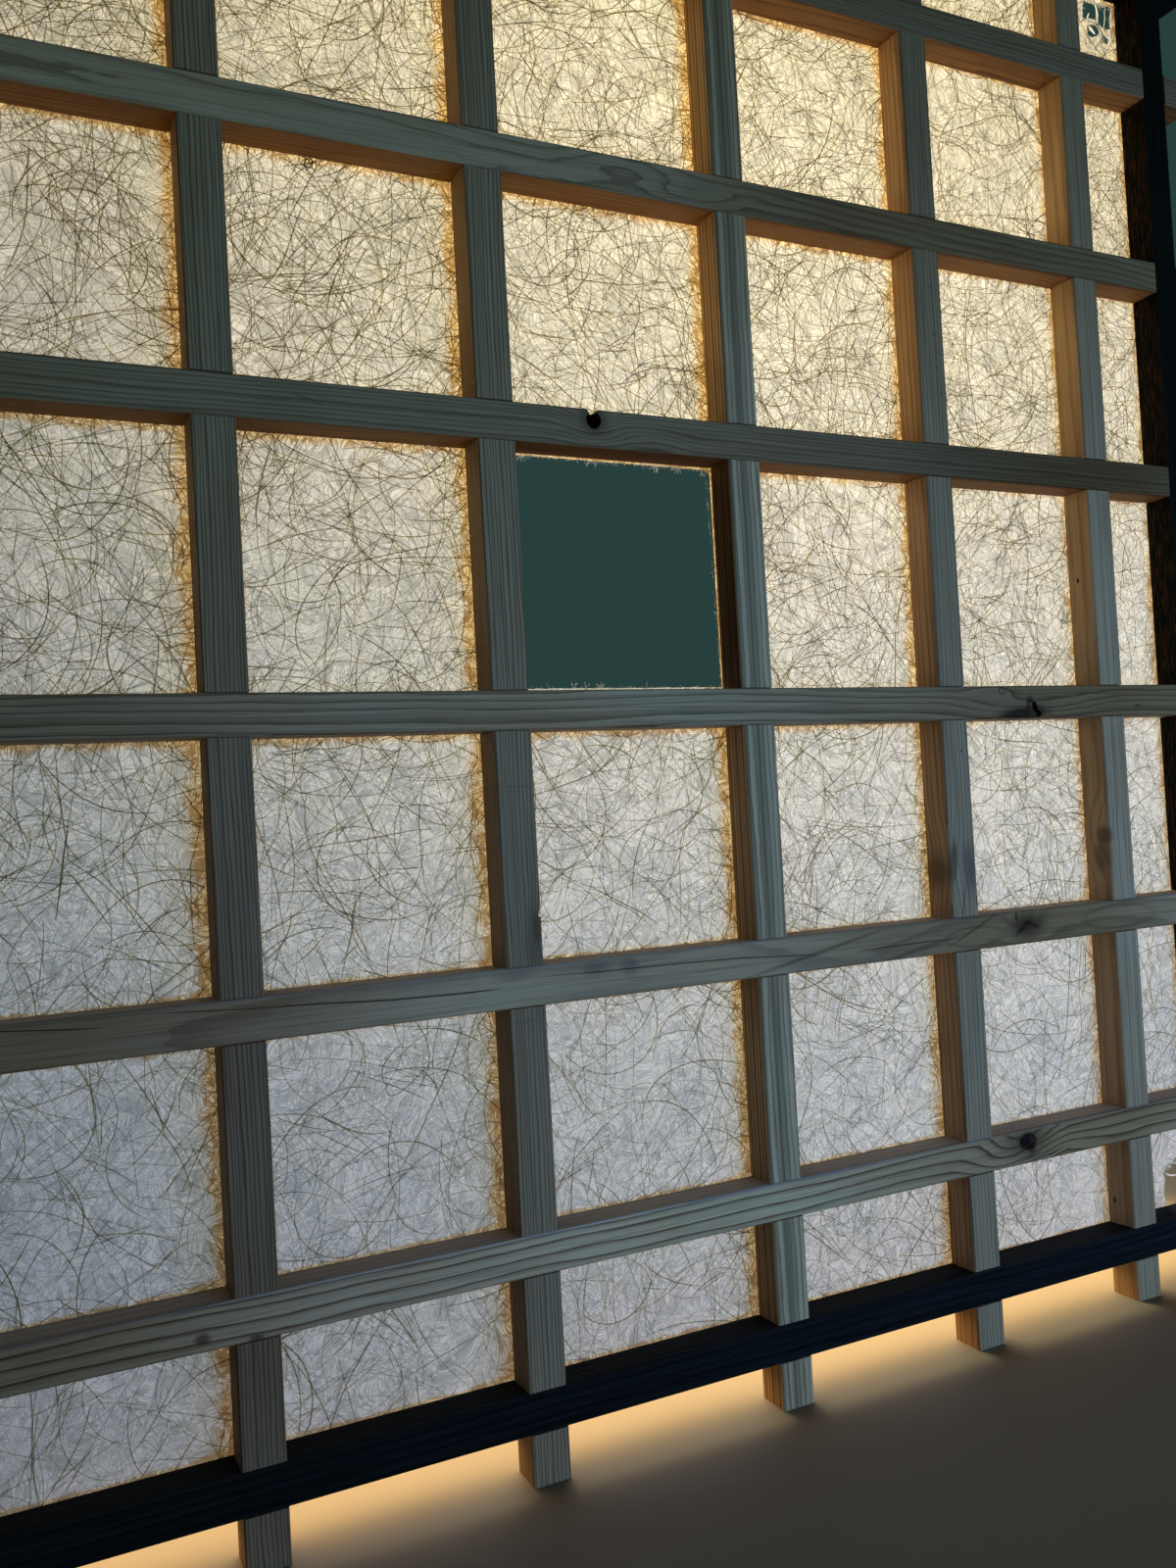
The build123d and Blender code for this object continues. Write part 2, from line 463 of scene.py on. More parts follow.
    def see_through(self, share, lit, colour, normal=None):
        """A surface mixed with a share of light that comes through it."""
        glowing = self.add("BsdfTranslucent", {"Color": colour, "Normal": normal}).outputs[0]
        return self.add("MixShader", {0: share, 1: lit, 2: glowing}).outputs[0]

    def finish(self, shader):
        """Joins the shader to the output."""
        self.add("Output" + self.kind, {"Surface": shader})
        return self.whole


def grain(recipe, centre, along_x, look):
    """Growth rings through a strip. Gives its coordinates in millimetres, how late in the year the wood grew,
    and the fine streaks along it."""
    x, depth, z = recipe.split(recipe.mapped(recipe.place(), IN_MM, [-side / mm for side in centre]))
    across, along = (z, x) if along_x else (x, z)
    strip = recipe.joined(across, depth, along)
    seed = look["seed"]

    pith_across, pith_depth = look["pith"]
    lean = recipe.times(along, look["slope"])
    from_pith_across = recipe.plus(recipe.minus(across, pith_across), lean)
    from_pith = recipe.joined(from_pith_across, recipe.minus(depth, pith_depth), 0)
    radius = recipe.vector("LENGTH", from_pith)

    slow = recipe.streaky(strip, 0.018, 0.0055, (seed, 3.1, 0), 1.5)
    quick = recipe.streaky(strip, 0.22, 0.03, (7.7, seed, 0), 2)
    for noise, reach in ((slow, look["wander"]), (quick, 0.45)):
        radius = recipe.plus(radius, recipe.span(noise, 0.2, 0.8, -reach, reach, False))
    for knot, half, push in look["swirls"]:
        radius = recipe.plus(radius, recipe.times(recipe.spot(strip, knot, half, 0, 0.95), push))
    years = recipe.noise(recipe.joined(radius, seed, 0), 0.11, 2)
    radius = recipe.plus(radius, recipe.span(years, 0.2, 0.8, -2.2, 2.2, False))
    year = recipe.math("FRACT", recipe.math("DIVIDE", radius, look["pitch"]))
    late = recipe.steps(year, [(0, 0.3), (0.07, 0), (0.5, 0.06), (0.78, 0.45), (0.9, 1)])
    streaks = recipe.streaky(strip, 1.1, 0.016, (0, seed, 5), 4, 0.6)
    return strip, late, streaks


def worn_edges(recipe, strip):
    """1 on the long edges of a strip, where hands and planes have been, and 0 on its faces."""
    away_across, away_depth, _ = recipe.split(recipe.vector("ABSOLUTE", strip))
    return recipe.span(recipe.plus(away_across, away_depth), 17.2, 18.6)


# What multiplies the softwood's colour: its clouds, its handled edges, painted shade on stretches of its fronts
# where the front light falls off, painted cool shade low on its sides, the sky's light painted on its fronts,
# and the same painted sky light, less green, in the lower left of the screen
CLOUDED = (0.78, 0.66, 0.55)
HANDLED = (0.72, 0.6, 0.48)
FRONT_FALLOFF_SHADE = (0.4, 0.31, 0.2)
LOW_SIDE_SHADE = (0.62, 0.66, 0.8)
SKYLIT = (0.8, 1.04, 1.34)
LOWER_LEFT_SKYLIGHT = (1.02, 0.86, 1.01)

# The depths, in millimetres from a strip's middle, between which its front gives way to its sides
FRONT_ENDS = (-9.3, -8.6)


def softwood(name, centre, along_x, look, wood):
    """Planed, unfinished softwood with its knots, stains and pencil marks, and painted sky light and shade on
    its faces.
    """
    recipe = Recipe(name)
    strip, late, streaks = grain(recipe, centre, along_x, look)
    early_colour = [channel * look["tone"] for channel in wood.early_colour]
    late_colour = [channel * look["tone"] for channel in wood.late_colour]
    colour = recipe.blend(recipe.times(late, look["contrast"], True), early_colour, late_colour)
    cloud = recipe.streaky(strip, 0.05, 0.011, (2, 0, look["seed"]), 3)
    colour = recipe.tinted(recipe.span(cloud, 0.35, 0.7, 0, 0.45), colour, CLOUDED)
    colour = recipe.tinted(1, colour, recipe.steps(streaks, [(0.3, 0.66), (0.48, 0.95), (0.72, 1.15)]))
    ducts = recipe.streaky(strip, 1.9, 0.11, (look["seed"], 1, 1), 1)
    colour = recipe.blend(recipe.span(ducts, 0.68, 0.78, 0, 0.5), colour, (0.16, 0.09, 0.045))
    edge = recipe.times(worn_edges(recipe, strip), recipe.span(cloud, 0.3, 0.65, 0.15, 0.6))
    colour = recipe.tinted(edge, colour, HANDLED)
    for place, half, turn, soft, stain, share, ring in look["marks"]:
        mask = recipe.spot(strip, place, half, turn, soft)
        if ring:
            hollow = recipe.spot(strip, place, [side - ring for side in half], turn, soft)
            mask = recipe.minus(mask, hollow, True)
        rough = recipe.times(mask, recipe.span(streaks, 0.25, 0.6, 0.7, 1))
        colour = recipe.blend(recipe.times(rough, share, True), colour, stain)
    # Painted shade on stretches of the fronts, where the front light falls off to the right, at the top and in
    # the lower left
    for along, half_along, share in look["aged"]:
        stretch = recipe.spot(strip, (0, -9.65, along), (THROUGH, 2.5, half_along), 0, 0.9)
        colour = recipe.tinted(recipe.times(stretch, share), colour, FRONT_FALLOFF_SHADE)
    depth = recipe.split(strip)[1]
    rightward, _, height = recipe.split(recipe.place())
    sides = recipe.span(depth, *FRONT_ENDS)
    # Painted cool shade on the faces towards the cells, low on the screen
    colour = recipe.tinted(recipe.times(recipe.span(height, 0.6, 0.34), sides), colour, LOW_SIDE_SHADE)
    # Painted light and shade on the faces towards the cells, strip by strip
    colour = recipe.tinted(sides, colour, look["sides"])
    # Painted sky light on the fronts: a cool tint, lighter or darker strip by strip with its front setting
    skylit_front = recipe.span(depth, *FRONT_ENDS[::-1], 0, 0.75)
    colour = recipe.tinted(skylit_front, colour, [channel * look["front"] for channel in SKYLIT])
    # Painted sky light, less green, on the fronts in the lower left of the screen
    corner = recipe.times(recipe.span(rightward, 0.1, -0.25), recipe.span(height, 0.5, 0.25))
    colour = recipe.tinted(recipe.times(skylit_front, corner), colour, LOWER_LEFT_SKYLIGHT)
    normal = recipe.bump(streaks, wood.relief, 0.12 * mm)
    return recipe.finish(recipe.surface(colour, recipe.span(late, 0, 1, 0.72, 0.55, False), 0.1, normal))


def stained_wood(name, centre, along_x, look, stain):
    """Open-grained wood stained almost black, with the stain rubbed thin on its edges."""
    recipe = Recipe(name)
    strip, late, streaks = grain(recipe, centre, along_x, look)
    pale = [channel * tone for channel, tone in zip(stain.pale_colour, look["tone"])]
    deep = [channel * tone for channel, tone in zip(stain.deep_colour, look["tone"])]
    colour = recipe.blend(recipe.times(late, 0.85), pale, deep)
    colour = recipe.tinted(1, colour, recipe.steps(streaks, [(0.3, 0.5), (0.5, 0.95), (0.7, 1.35)]))
    cloud = recipe.streaky(strip, 0.06, 0.012, (4, 0, look["seed"]), 3)
    colour = recipe.tinted(recipe.span(cloud, 0.45, 0.75, 0, 0.5), colour, (0.6, 0.58, 0.6))
    rub = recipe.times(worn_edges(recipe, strip), recipe.span(streaks, 0.42, 0.62, 0.05, 0.55))
    colour = recipe.blend(rub, colour, (0.03, 0.018, 0.01))
    flecks = recipe.streaky(strip, 1.5, 0.1, (1, look["seed"], 2), 2)
    sideways = recipe.math("ABSOLUTE", recipe.split(strip)[0])
    bare = recipe.times(recipe.span(sideways, 9.2, 9.45), recipe.span(flecks, 0.5, 0.68, 0, look["flecks"]))
    colour = recipe.blend(bare, colour, (0.095, 0.036, 0.012))
    pores = recipe.streaky(strip, 2.6, 0.07, (look["seed"], 1, 1), 2)
    height = recipe.minus(streaks, recipe.span(pores, 0.55, 0.7, 0, 0.8))
    normal = recipe.bump(height, stain.relief, 0.16 * mm)
    return recipe.finish(recipe.surface(colour, recipe.span(streaks, 0.3, 0.7, 0.88, 0.7, False), 0.06, normal))


# The fine strokes inside the paper: the way that they run in degrees, and how tight they are across and along.
# The first four hold light back, and the others let more through.
STROKES = [
    (12, 0.5, 0.035), (57, 0.56, 0.045), (101, 0.46, 0.03), (148, 0.6, 0.05),
    (33, 0.54, 0.04), (80, 0.66, 0.05), (126, 0.5, 0.035),
]


def washi(name, paper):
    """Long-fibred paper that lets about as much light through as it sends back."""
    recipe = Recipe(name)
    face = recipe.mapped(recipe.place(), FLAT_IN_MM)
    waves = recipe.add("TexNoise", {"Vector": face, "Scale": 0.045, "Detail": 1, "Roughness": 0.5})
    bent = recipe.vector("SUBTRACT", waves.outputs["Color"], (0.5, 0.5, 0.5))
    wavy = recipe.vector("ADD", face, recipe.vector("MULTIPLY", bent, (34, 0, 34)))
    cloud = recipe.noise(face, 0.028, 3, 0.55)
    flock = recipe.noise(face, 0.33, 3, 0.6, 0.6)
    specks = recipe.noise(face, 0.95, 2, 0.6)

    strokes = []
    for order, (turn, across, along) in enumerate(STROKES):
        turned = recipe.mapped(wavy, (1, 1, 1), (13 * order, 0, 7 * order), (0, radians(turn), 0))
        field = recipe.noise(recipe.mapped(turned, (along, 1, across)), 1, 0)
        strokes.append(recipe.span(recipe.math("ABSOLUTE", recipe.minus(field, 0.5)), 0.06, 0.02))
    thick = recipe.plus(recipe.plus(strokes[0], strokes[1]), recipe.plus(strokes[2], strokes[3]))
    thick = recipe.times(thick, 0.75, True)
    bright = recipe.plus(strokes[4], recipe.plus(strokes[5], strokes[6]))
    bright = recipe.times(bright, 0.8, True)

    # how much light comes through where each pattern is low, and where it is high
    thin = recipe.span(cloud, 0.3, 0.7, 0.72, 0.88)
    thinning = (
        (flock, 0.3, 0.7, 0.9, 1.08), (specks, 0.3, 0.72, 0.94, 1.08), (thick, 0, 1, 1.08, 0.68),
        (bright, 0, 1, 0.95, 1.25),
    )
    for pattern in thinning:
        thin = recipe.times(thin, recipe.span(*pattern))
    # millimetres from the paste and its painted warm glow, more or less at the patches of the ebb, at the thick
    # strokes and to the right
    gap = recipe.add("Attribute", attribute_name="from_paste_and_glow_mm").outputs["Fac"]
    ebb = recipe.noise(recipe.mapped(face, (1, 1, 1), (91, 0, 17)), 0.06, 3, 0.6)
    reach = recipe.plus(gap, recipe.span(ebb, 0.25, 0.75, 4.5, -2.5, False))
    reach = recipe.plus(reach, recipe.span(thick, 0, 1, 1, -1.5, False))
    reach = recipe.plus(reach, recipe.span(recipe.split(face)[0], 60, 300, 0, 3.5))
    # The amber beside the strips is soaked-in paste and painted warm glow together, in the light through and on
    # the lit face
    soaked = recipe.span(reach, 8, 2)
    through = recipe.blend(soaked, paper.through_colour, paper.paste_and_glow_colour)
    through = recipe.tinted(1, through, recipe.steps(thin, [(0, 0), (1, 1)]))
    clotted = recipe.times(soaked, recipe.times(thick, 0.8))
    through = recipe.blend(clotted, through, (0.42, 0.23, 0.08))
    face_colour = recipe.blend(soaked, paper.face_colour, (0.72, 0.55, 0.3))
    face_colour = recipe.blend(recipe.times(thick, 0.55), face_colour, (0.6, 0.53, 0.42))
    normal = recipe.bump(recipe.plus(thick, recipe.times(flock, 0.6)), 0.35, 0.12 * mm)
    lit = recipe.surface(face_colour, recipe.span(thick, 0, 1, 0.82, 0.66, False), 0.2, normal)
    return recipe.finish(recipe.see_through(0.56, lit, through, normal))


# The kinds of bark fibre: their colour, the light that comes through them, and how much of it does
BAST = {
    "fibres_fine_front_bast": ((0.72, 0.69, 0.56), (0.87, 0.82, 0.63), 0.75),
    "fibres_grey_front_bast": ((0.48, 0.44, 0.33), (0.67, 0.6, 0.4), 0.7),
    "fibres_brown_front_bast": ((0.4, 0.34, 0.21), (0.56, 0.47, 0.25), 0.7),
    "fibres_dark_front_bast": ((0.26, 0.22, 0.14), (0.42, 0.35, 0.2), 0.62),
    "fibres_back_bast": ((0.56, 0.5, 0.38), (0.74, 0.67, 0.5), 0.62),
    "loose_bast": ((0.9, 0.87, 0.8), (1, 0.97, 0.92), 0.55),
    "dark_bark": ((0.12, 0.085, 0.05), (0.2, 0.13, 0.07), 0.25),
}


def bast_fibre(name):
    """A bark fibre, a little see-through, blotched along its length."""
    colour, through, share = BAST[name]
    recipe = Recipe(name)
    blotch = recipe.noise(recipe.mapped(recipe.place(), FLAT_IN_MM), 0.21, 2, 0.6)
    colour = recipe.blend(recipe.span(blotch, 0.35, 0.7), colour, [0.72 * channel for channel in colour])
    through = recipe.blend(recipe.span(blotch, 0.3, 0.65), through, [0.7 * channel for channel in through])
    lit = recipe.surface(colour, recipe.span(blotch, 0.3, 0.7, 0.5, 0.7, False), 0.3)
    return recipe.finish(recipe.see_through(share, lit, through))


# What each strip's wood looks like. Places are millimetres from the strip's middle: across its face, in from
# the middle of its depth towards the back, and along it.
BROWN = (0.1, 0.045, 0.018)
BLACK = (0.007, 0.004, 0.0025)
HEART = (0.17, 0.115, 0.055)
DUSK = (0.11, 0.08, 0.055)
# Painted shade that greys the top faces of the lowest crosswise strips
TOP_FACE_SHADE = (0.36, 0.3, 0.23)
PENCIL = (0.1, 0.1, 0.1)
THROUGH = 1e6  # half the size of a mark that goes all the way


def mark(across, along, half_across, half_along, stain, share=0.9, soft=0.35, turn=0, depth=0,
         half_depth=THROUGH, ring=0):
    """One knot, stain, check or pencil line in a strip, or its outline alone, as wide as ring says."""
    return (across, depth, along), (half_across, half_depth, half_along), turn, soft, stain, share, ring


def swirl(across, along, half_across, half_along, push):
    """Rings pushed aside round a knot."""
    return (across, 0, along), (half_across, THROUGH, half_along), push


def look_of(seed, pith, pitch, wander, slope, swirls=(), marks=(), **others):
    """The look of one strip. Its rings run round a pith (across, depth), a pitch apart, and they wander and
    slope. Each row of its swirls and marks says what swirl and mark say. Of the others, contrast is how dark the
    rings are, tone how light the wood is, front how strongly the painted sky light lights and tints its front,
    sides the painted light and shade on the faces towards the cells, and flecks how bare the stain has worn
    there. Each aged stretch is painted shade on a front where the light falls off: its place, half its
    length and how dark it is."""
    return {
        "seed": seed, "pith": pith, "pitch": pitch, "wander": wander, "slope": slope,
        "swirls": [swirl(*each) for each in swirls], "marks": [mark(*each) for each in marks],
        "tone": 1, "sides": (1, 1, 1), "aged": [], **others,
    }


# Painted warm shade on the faces towards the cells of the upper crosswise strips, whose undersides show
UPPER_UNDERSIDE_SHADE = (0.66, 0.46, 0.26)
# Each strip's front setting is how much painted sky light its front has
LOOKS = {
    "vertical_strip_1": look_of(1.7, (48, 30), 1.6, 1, 0.002, contrast=0.75, front=0.8),
    "vertical_strip_2": look_of(
        4.2, (-55, 28), 1.6, 1.3, 0.004, contrast=0.85, tone=0.9, front=0.82, sides=(0.88, 0.85, 0.9),
        aged=[(-360, 140, 0.3)],
    ),
    "vertical_strip_3": look_of(
        8.9, (-60, 35), 1.6, 1.2, -0.003, contrast=0.8, tone=0.95, front=0.86, sides=(0.85, 0.87, 0.95),
        aged=[(330, 120, 0.35)], swirls=[(9, -175, 6, 14, 2)],
        marks=[
            (5, -178, 4, 17, HEART, 0.6, 0.6), (7, -172, 2, 7, BROWN, 0.55, 0.5),
            (0, -105, 9.5, 0.3, PENCIL, 0.4), (0, -215, 9.5, 0.3, PENCIL, 0.35),
        ],
    ),
    "vertical_strip_4": look_of(
        12.3, (-38, 52), 2.1, 1.4, 0.003, contrast=0.8, front=1.42, sides=(1.5, 1.5, 1.45),
        aged=[(330, 150, 0.4)],
        marks=[
            (-0.5, 0, 3.4, THROUGH, HEART, 0.62, 0.7), (-1.5, 0, 1, THROUGH, BROWN, 0.4, 0.6),
            (-8.4, 0, 0.9, THROUGH, HEART, 0.7, 0.6),
        ] + [
            (-9.5, 0, 1.2, THROUGH, BROWN, share, 0.6, 0, depth, half_depth)
            for share, depth, half_depth in (
                (0.75, -6.6, 0.7), (0.6, -3.6, 0.5), (0.8, -0.7, 0.9), (0.6, 2.6, 0.5), (0.7, 5.8, 0.8),
            )
        ],
    ),
    "vertical_strip_5": look_of(
        17.1, (-64, -38), 2.6, 1.4, -0.003, contrast=0.55, tone=1.08, front=0.66, sides=(1.18, 1.12, 1.12),
        aged=[(330, 120, 0.4)], swirls=[(-7, -158, 6, 20, 3), (9, -178, 5, 12, -2)],
        marks=[
            (-6.5, -158, 2.6, 12, BROWN, 0.75, 0.5, 0.12), (5, -162, 4.6, 13, DUSK, 0.65, 0.6, -0.1),
            (9.4, -180.5, 1.3, 6, BLACK, 1), (-1, -181, 0.45, 10, BROWN, 0.8, 0.4, 0.22),
            (4, -96, 0.55, 0.7, BLACK), (2.5, 168, 0.4, 0.6, BLACK), (3.2, 154, 0.4, 0.6, BLACK),
            (2.2, 141, 0.5, 0.6, BLACK), (3, 122, 0.4, 0.6, BLACK), (5.5, 108, 0.4, 0.6, BLACK),
            (-9.5, -163, 4, 10, HEART, 0.7, 0.6, 0, 0, 7),
        ],
    ),
    "vertical_strip_6": look_of(
        22.6, (66, -30), 2.3, 1.4, 0.003, contrast=0.35, tone=1.2, front=0.68, sides=(1.08, 1.08, 1.05),
        aged=[(330, 120, 0.35)], swirls=[(-9, -148, 8, 17, -3.5)],
        marks=[
            (-9.5, -150, 3.4, 5, BROWN, 0.7, 0.5, 0, -6, 6), (-9.5, -163, 3, 9, HEART, 0.7, 0.5, 0, -3, 6),
            (-9.5, 6, 1.2, 1.6, BLACK, 1, 0.35, 0, 2, 0.9),
            (-9.5, -372, 1.2, 2, BLACK, 1, 0.35, 0, 4, 0.8),
            (-1.6, -20, 0.5, THROUGH, BROWN, 0.35, 0.6, 0.004, -9.6, 1),
            (3.1, -20, 0.4, THROUGH, BROWN, 0.3, 0.6, -0.003, -9.6, 1),
            (6.4, -20, 0.5, THROUGH, BROWN, 0.3, 0.6, 0.002, -9.6, 1),
        ],
    ),
    "horizontal_strip_1": look_of(
        31.4, (46, 22), 2.2, 2.6, 0.006, contrast=0.6, tone=0.95, front=0.45, sides=UPPER_UNDERSIDE_SHADE,
        marks=[(0, 317, 9.5, 0.3, PENCIL, 0.4)],
    ),
    "horizontal_strip_2": look_of(
        36.8, (-10, 17), 2.3, 2.2, 0.03, contrast=0.55, tone=0.95, front=1.18, sides=UPPER_UNDERSIDE_SHADE,
        aged=[(200, 165, 0.85), (375, 90, 0.55)], swirls=[(9, 8, 9, 26, -4), (-4, 48, 5, 20, 2.5)],
        marks=[(9, 14, 1.6, 9, BROWN, 0.6, 0.6), (-3, -62, 4.5, 26, BROWN, 0.3, 0.3, 0, 0, THROUGH, 1)],
    ),
    "horizontal_strip_3": look_of(
        41.5, (-58, 26), 2, 1.6, 0.004, contrast=0.6, tone=0.85, front=0.8, sides=UPPER_UNDERSIDE_SHADE,
        aged=[(310, 160, 0.92)], swirls=[(5, -18, 8, 13, 4.5), (-2, 12, 7, 18, -3), (-7, -10, 4, 20, 1.6)],
        marks=[
            (4, -17.4, 6.2, 7.2, BROWN, 0.65, 0.5), (4, -17.4, 4.6, 3.4, BLACK, 0.92, 0.2),
            (-8, 14, 1, 12, BROWN, 0.6, 0.6), (1.5, -158, 0.35, 7.5, PENCIL, 0.7, 0.4, -0.25),
        ],
    ),
    "horizontal_strip_4": look_of(
        47.2, (44, 34), 2.7, 2.6, 0.005, contrast=0.75, front=1.18, sides=(1.1, 1.15, 1.2),
        aged=[(300, 175, 0.88), (-300, 80, 0.5)],
        swirls=[(-4, 246, 9, 34, -4), (6, 230, 4, 16, 2.2), (-2, 290, 6, 22, -2)],
        marks=[
            (-6.3, 252, 3.2, 18, BLACK, 0.95, 0.6, 0.05), (-2, 257, 5, 2.8, BLACK, 0.95, 0.6),
            (-4.5, 262, 3.2, 5, BROWN, 0.8, 0.6), (6.6, 236, 2.4, 2.6, BROWN, 0.7, 0.3, 0, 0, THROUGH, 0.9),
            (-3, 345, 0.8, 3, BROWN, 0.6),
        ],
    ),
    "horizontal_strip_5": look_of(
        53.9, (-6, 30), 4.2, 5, 0.006, contrast=0.4, tone=1.08, front=1.3, sides=(1.35, 1.3, 1.2),
        aged=[(250, 150, 0.9), (-290, 110, 0.7)], swirls=[(2, 244, 8, 16, 3)],
        marks=[
            (-0.5, 97, 1, 42, BROWN, 0.6, 0.6, 0.19), (-5.5, 163, 1.3, 30, BROWN, 0.55, 0.6, 0.17),
            (3.2, 207, 0.9, 20, BROWN, 0.55, 0.6, 0.4), (1, 244, 7, 12, BROWN, 0.9, 0.7),
            (0, 241, 1.5, 6.5, BLACK, 0.75, 0.6, 0.6), (1, 248, 1.1, 5.5, BLACK, 0.7, 0.6, -0.35),
            (6.5, 236, 2.5, 1, BLACK, 0.7, 0.5), (0, 318, 7.5, 30, BROWN, 0.5, 0.15, 0, 0, THROUGH, 1.6),
            (-2, 205, 6, 22, BROWN, 0.45, 0.15, 0, 0, THROUGH, 1.4),
            # The first mark of the next row is painted shade on the top face
            (9.5, 0, 0.9, THROUGH, TOP_FACE_SHADE, 0.6, 0.5), (4, -14, 4, 4.5, DUSK, 0.6, 0.7),
            (5, -33, 3, 6, DUSK, 0.55, 0.7), (6.5, -74, 3, 11, HEART, 0.5, 0.7),
        ],
    ),
    "horizontal_strip_6": look_of(
        58.3, (-46, 46), 2.9, 2.4, -0.004, contrast=0.95, tone=1.05, front=1.75, sides=(1.35, 1.3, 1.2),
        aged=[(280, 150, 0.85), (-300, 110, 0.7)],
        swirls=[(3, 232, 10, 20, 6), (-5, 207, 7, 16, 4), (-5, 262, 6, 22, -3)],
        marks=[
            (2.6, 234, 8.2, 15, BROWN, 0.75, 0.8), (3.4, 233.6, 4.4, 5.6, BLACK, 1, 0.5),
            # The second mark of the next row is painted shade on the top face
            (-0.6, 236.5, 3.6, 3, BLACK, 0.85, 0.6, 0.5), (9.5, 0, 0.9, THROUGH, TOP_FACE_SHADE, 0.65, 0.5),
            (-3.9, -221.5, 2.2, 3.2, BROWN, 0.8, 0.5), (-8.4, -199.7, 1.6, 3, BROWN, 0.8, 0.5),
        ],
    ),
    # The frame's tones set how much of the stain's painted bluish sky reflection shows: more on the rails, less
    # on the stiles
    "left_stile": look_of(63.1, (40, 30), 2.2, 2, 0.003, tone=(0.75, 0.95, 0.6), flecks=0.75),
    "right_stile": look_of(68.4, (-36, 34), 2.2, 2, 0.003, tone=(0.75, 0.95, 0.6), flecks=0.75),
    "top_rail": look_of(73.5, (30, 34), 2.6, 2.5, 0.004, tone=(1.35, 1.4, 1.4), flecks=0.2),
    "bottom_rail": look_of(79.9, (-28, 30), 2.6, 2.5, 0.004, tone=(1.35, 1.4, 1.4), flecks=0.08),
}


# Settings that a user would change


def number(name, text, value, **limits):
    """A plain number in the settings."""
    return bpy.props.FloatProperty(name=name, description=text, default=value, **limits)


def length(name, text, value):
    """A length in the settings."""
    return number(name, text, value, min=0, unit="LENGTH", precision=5)


def whole(name, text, value):
    """A whole number in the settings."""
    return bpy.props.IntProperty(name=name, description=text, default=value, min=0)


def three(name, text, value, **limits):
    """Three numbers in the settings."""
    return bpy.props.FloatVectorProperty(name=name, description=text, default=value, size=3, **limits)


def tint(name, text, value):
    """A colour in the settings."""
    return three(name, text, value, min=0, max=2, subtype="COLOR")


class ShojiWood(bpy.types.PropertyGroup):
    early_colour: tint("Early wood", "Pale wood between the lines of the grain", (0.53, 0.345, 0.17))
    late_colour: tint("Late wood", "The darker lines of the grain", (0.15, 0.068, 0.025))
    relief: number("Relief", "How strongly the grain stands out of the planed faces", 0.45, min=0, max=1)


class ShojiStain(bpy.types.PropertyGroup):
    # Both stain colours are bluish: a painted reflection of the sky on the dark wood
    pale_colour: tint("Pale grain", "Stained wood between the lines of the grain", (0.0078, 0.0088, 0.0094))
    deep_colour: tint("Deep grain", "The darkest lines under the stain", (0.003, 0.0033, 0.0036))
    relief: number("Relief", "How open the grain is under the stain", 0.7, min=0, max=1)


class ShojiPaper(bpy.types.PropertyGroup):
    face_colour: tint("Face", "The paper where light falls on it", (0.84, 0.81, 0.74))
    through_colour: tint("Light through", "The paper with the light behind it", (0.93, 0.92, 0.925))
    # The paste colour is soaked-in paste together with a painted warm glow beside the strips
    paste_and_glow_colour: tint("Paste", "Paper beside the strips, where paste has soaked in", (1, 0.8, 0.44))
    swell: length("Swell", "How far the sheet stands off between its strips", 0.35 * mm)
    front_fibres: whole("Front fibres", "Long fibres on the front of the sheet", 18500)
    back_fibres: whole("Back fibres", "Long fibres on the back of the sheet", 3200)
    fibre_width: length("Fibre width", "Width of a common fibre", 0.39 * mm)


class ShojiStage(bpy.types.PropertyGroup):
    floor_colour: tint("Floor", "The plain floor", (0.34, 0.325, 0.28))
    backdrop_colour: tint("Backdrop", "What shows behind the screen", (0.0205, 0.0505, 0.0465))
    eye: three(
        "Camera place", "Where the camera stands", (-0.28936, -0.55013, 0.3108), subtype="TRANSLATION",
        unit="LENGTH",
    )
    aim: three(
        "Camera aim", "Turn to the right, tilt up and roll of the camera",
        (radians(25.519), radians(1.2333), radians(-3.1654)), subtype="EULER", unit="ROTATION",
    )
    lens: number("Lens", "Focal length in millimetres on a 36 mm sensor", 28.487, min=10, max=200)


GROUPS = {
    "shoji_wood": ShojiWood, "shoji_stain": ShojiStain, "shoji_paper": ShojiPaper, "shoji_stage": ShojiStage,
}


# Operators


def finish_strips(nodes, lying, ending, make, settings):
    """Makes a material for each strip and puts it in the strip's slots."""
    for node in nodes:
        wood = make(node + ending, middle(node), node in lying, LOOKS[node], settings)
        for place in frame["nodes"][node].material_slots:
            place.material = wood


class SHOJI_OT_finish_softwood(bpy.types.Operator):
    """Give every softwood strip its own run of grain, with its knots and marks"""

    bl_idname = "shoji.finish_softwood"
    bl_label = "Softwood strips"

    def execute(self, context):
        finish_strips(UPRIGHTS + CROSSWISE, CROSSWISE, "_softwood", softwood, context.scene.shoji_wood)
        return {"FINISHED"}


class SHOJI_OT_finish_frame(bpy.types.Operator):
    """Stain the strips of the outer frame"""

    bl_idname = "shoji.finish_frame"
    bl_label = "Dark frame"

    def execute(self, context):
        finish_strips(STILES + RAILS, RAILS, "_stained", stained_wood, context.scene.shoji_stain)
        return {"FINISHED"}


